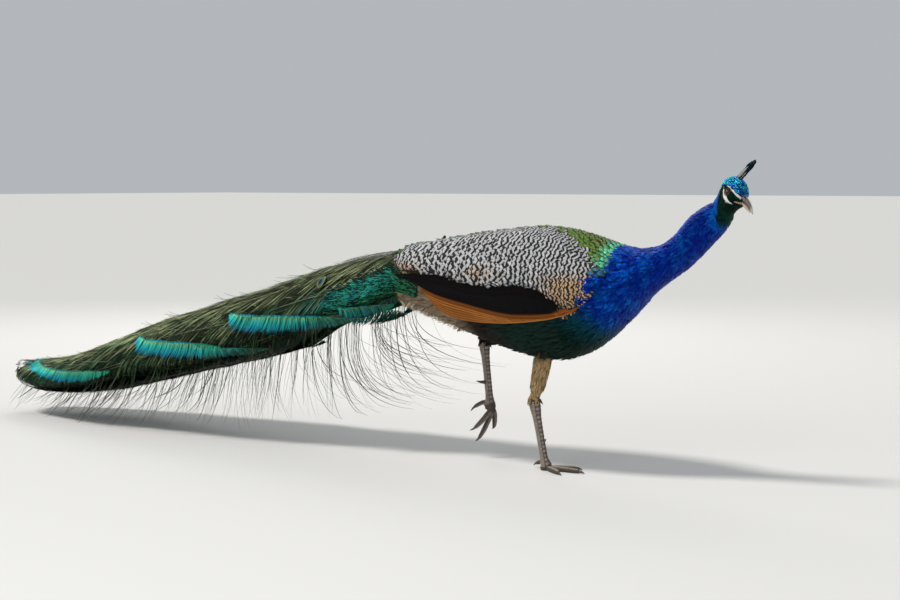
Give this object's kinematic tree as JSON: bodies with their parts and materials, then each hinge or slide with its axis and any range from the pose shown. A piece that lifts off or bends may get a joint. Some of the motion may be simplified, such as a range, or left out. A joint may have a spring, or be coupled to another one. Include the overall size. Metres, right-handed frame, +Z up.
{
  "type": "peacock",
  "caption": "Indian peafowl cock in mid-step, one foot lifted, with a small crest, folded wings and a long train that slopes back to the floor.",
  "frame": {"origin": "middle of the footprint of the whole bird's box, on the floor", "axes": "+X the way the bird walks, +Y to its own left, +Z up"},
  "size_m": [2.0936, 0.304, 0.6204],
  "materials": {
    "head_feathers": "blue-green scale-like feathers with a black eye stripe and white patches",
    "crest_feathers": "pale shafts with dark blue-green tips",
    "bill": "grey-brown horn, satin",
    "eye": "dark brown, wet gloss",
    "neck_feathers": "deep cobalt blue, silky sheen",
    "belly_feathers": "green-black above to brown-black fluff below, with a gold-green scaled mantle",
    "barred_feathers": "cream and grey finely barred with black",
    "black_feathers": "black with a slight blue gloss",
    "rufous_feathers": "orange-brown, matt",
    "train_feathers": "olive and bronze-green loose barbs with eyed tips",
    "turquoise_feathers": "turquoise green, silky sheen",
    "thigh_feathers": "buff, soft and matt",
    "scaled_skin": "grey-brown scutes, matt",
    "claw_horn": "dark horn, satin"
  },
  "bodies": {
    "root": {"head": "head_feathers", "crest": "crest_feathers", "bill_upper": "bill", "bill_lower": "bill", "eye_L": "eye", "eye_R": "eye", "neck_upper": "neck_feathers", "neck_lower": "neck_feathers", "breast": "neck_feathers", "trunk": "belly_feathers", "rump": "belly_feathers", "wing_coverts_L": "barred_feathers", "wing_secondaries_L": "black_feathers", "wing_primaries_L": "rufous_feathers", "wing_coverts_R": "barred_feathers", "wing_secondaries_R": "black_feathers", "wing_primaries_R": "rufous_feathers", "train_1": "train_feathers", "train_2": "train_feathers", "train_3": "train_feathers", "train_4": "train_feathers", "sword_feather_1_L": "turquoise_feathers", "sword_feather_2_L": "turquoise_feathers", "sword_feather_3_L": "turquoise_feathers", "fringe_L": "train_feathers", "sword_feather_1_R": "turquoise_feathers", "sword_feather_2_R": "turquoise_feathers", "sword_feather_3_R": "turquoise_feathers", "fringe_R": "train_feathers", "thigh_L": "thigh_feathers", "shank_L": "scaled_skin", "spur_L": "claw_horn", "toe_inner_L": "scaled_skin", "claw_inner_L": "claw_horn", "toe_middle_L": "scaled_skin", "claw_middle_L": "claw_horn", "toe_outer_L": "scaled_skin", "claw_outer_L": "claw_horn", "toe_hallux_L": "scaled_skin", "claw_hallux_L": "claw_horn", "thigh_R": "thigh_feathers", "shank_R": "scaled_skin", "spur_R": "claw_horn", "toe_inner_R": "scaled_skin", "claw_inner_R": "claw_horn", "toe_middle_R": "scaled_skin", "claw_middle_R": "claw_horn", "toe_outer_R": "scaled_skin", "claw_outer_R": "claw_horn", "toe_hallux_R": "scaled_skin", "claw_hallux_R": "claw_horn"}
  },
  "joints": []
}
